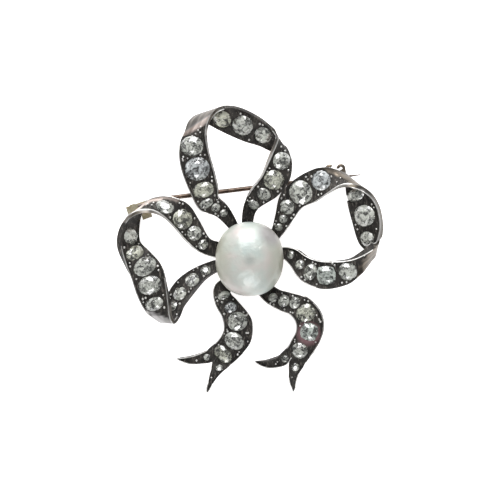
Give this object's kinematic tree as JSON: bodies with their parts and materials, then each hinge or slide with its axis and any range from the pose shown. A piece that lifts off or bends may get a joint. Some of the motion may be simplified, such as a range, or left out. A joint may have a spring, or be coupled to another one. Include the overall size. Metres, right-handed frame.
{
  "type": "bow brooch",
  "caption": "Antique bow brooch: three ribbon loops and two split tails in dark silver, set with 54 old-cut stones round one big pearl, with a hinged gold pin and hook on the back.",
  "frame": {"origin": "on the flat back of the boss, straight under the middle of the pearl: the surface that the brooch lies on", "axes": "+Z out of the face towards the viewer, +Y towards the bow's top loop, +X towards the hook"},
  "size_m": [0.0373, 0.0403, 0.01],
  "materials": {
    "silver": "darkened silver, polished along the edges, rose gold behind",
    "pearl": "silvery white lustre with blue, green and pink",
    "stone": "old-cut stones, clear to pale yellow",
    "gold": "worn yellow gold",
    "pin_gold": "copper-toned rose gold"
  },
  "bodies": {
    "brooch": {"bow_frame": "silver", "pearl": "pearl", "hinge_bracket": "gold", "hinge_rivet": "gold", "catch": "gold", "top_stone_1": "stone", "top_stone_2": "stone", "top_stone_3": "stone", "top_stone_4": "stone", "top_stone_5": "stone", "top_stone_6": "stone", "top_stone_7": "stone", "top_stone_8": "stone", "top_stone_9": "stone", "top_stone_10": "stone", "top_stone_11": "stone", "right_stone_1": "stone", "right_stone_2": "stone", "right_stone_3": "stone", "right_stone_4": "stone", "right_stone_5": "stone", "right_stone_6": "stone", "right_stone_7": "stone", "right_stone_8": "stone", "right_stone_9": "stone", "left_stone_1": "stone", "left_stone_2": "stone", "left_stone_3": "stone", "left_stone_4": "stone", "left_stone_5": "stone", "left_stone_6": "stone", "left_stone_7": "stone", "left_stone_8": "stone", "left_stone_9": "stone", "left_stone_10": "stone", "left_stone_11": "stone", "left_tail_stone_1": "stone", "left_tail_stone_2": "stone", "left_tail_stone_3": "stone", "left_tail_stone_4": "stone", "right_tail_stone_1": "stone", "right_tail_stone_2": "stone", "right_tail_stone_3": "stone", "right_tail_stone_4": "stone", "right_tail_stone_5": "stone", "top_small_stones": "stone", "right_small_stones": "stone", "left_small_stones": "stone", "left_tail_small_stones": "stone", "right_tail_small_stones": "stone"},
    "pin": {"pin_stem": "pin_gold"}
  },
  "joints": [
    {"name": "pin_hinge", "type": "hinge", "parent": "brooch", "child": "pin", "pos_m": [-0.01626, 0.00678, 0.0009], "axis": [-0.3265, 0.9452, 0], "range_deg": [0, 100]}
  ]
}
